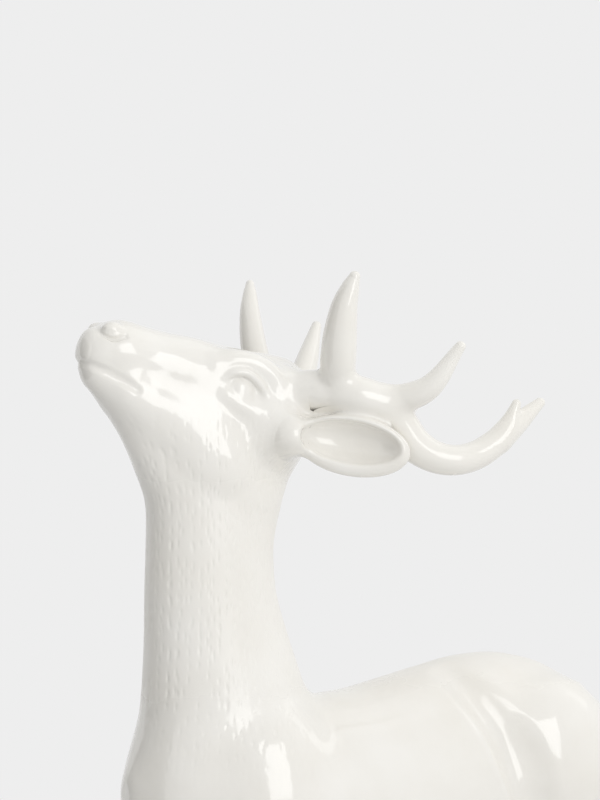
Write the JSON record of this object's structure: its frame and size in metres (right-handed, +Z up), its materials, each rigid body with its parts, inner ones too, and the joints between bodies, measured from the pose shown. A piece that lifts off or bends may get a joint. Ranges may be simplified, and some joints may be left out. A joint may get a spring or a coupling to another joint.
{
  "type": "light-up standing reindeer ornament",
  "caption": "Standing reindeer of hollow glazed ceramic with pull-off antlers, lit from inside by a battery lamp unit behind a port in its belly.",
  "frame": {"origin": "on the ground below the middle of the bounding box", "axes": "+Z up, -Y the way the deer faces, +X the deer's left"},
  "size_m": [0.1786, 0.4258, 0.615],
  "materials": {
    "white_ceramic": "gloss glaze over white stoneware",
    "steel": "zinc plated",
    "grey_plastic": "fine satin grain",
    "black_plastic": "satin",
    "rubber": "matt",
    "brass": "turned",
    "cell_wrap": "printed film, left plain",
    "nickel": "nickel plate",
    "frosted_plastic": "frosted, passes light",
    "aluminium": "turned",
    "white_board": "white solder mask",
    "led_lens": "phosphor under clear resin",
    "green_board": "green solder mask",
    "ferrite": "ferrite",
    "red_wire": "insulated wire",
    "black_wire": "insulated wire"
  },
  "bodies": {
    "deer": {"torso_shell": "white_ceramic", "head_neck_shell": "white_ceramic", "front_left_leg": "white_ceramic", "front_right_leg": "white_ceramic", "rear_left_leg": "white_ceramic", "rear_right_leg": "white_ceramic", "left_ear": "white_ceramic", "right_ear": "white_ceramic", "tail": "white_ceramic", "hinge_pin": "steel", "base_screws": "steel", "diffuser_screws": "steel", "board_screws": "steel", "left_socket": "grey_plastic", "right_socket": "grey_plastic", "port_frame": "grey_plastic", "lamp_housing": "grey_plastic", "switch_body": "grey_plastic", "hoof_pads": "rubber", "port_gasket": "rubber", "threaded_inserts": "brass", "battery_1": "cell_wrap", "battery_2": "cell_wrap", "battery_3": "cell_wrap", "spring_contacts": "nickel", "plate_contacts": "nickel", "diffuser": "frosted_plastic", "led_post": "aluminium", "led_board": "white_board", "led_chips": "led_lens", "driver_board": "green_board", "driver_chip": "black_plastic", "driver_coil": "ferrite", "red_lead": "red_wire", "black_lead": "black_wire"},
    "left_antler_body": {"left_antler": "white_ceramic", "left_peg": "steel"},
    "right_antler_body": {"right_antler": "white_ceramic", "right_peg": "steel"},
    "door": {"battery_door": "grey_plastic", "door_seal": "rubber"},
    "knob": {"switch_knob": "black_plastic"}
  },
  "joints": [
    {"name": "left_antler_slide", "type": "slide", "parent": "deer", "child": "left_antler_body", "axis": [0.65, 0.76, 0], "range_m": [0, 0.025]},
    {"name": "right_antler_slide", "type": "slide", "parent": "deer", "child": "right_antler_body", "axis": [-0.65, 0.76, 0], "range_m": [0, 0.025]},
    {"name": "battery_door_hinge", "type": "hinge", "parent": "deer", "child": "door", "pos_m": [0, -0.0595, 0.212], "axis": [-1, 0, 0], "range_deg": [0, 100]},
    {"name": "switch_slide", "type": "slide", "parent": "deer", "child": "knob", "axis": [1, 0, 0], "range_m": [0, 0.003]}
  ]
}
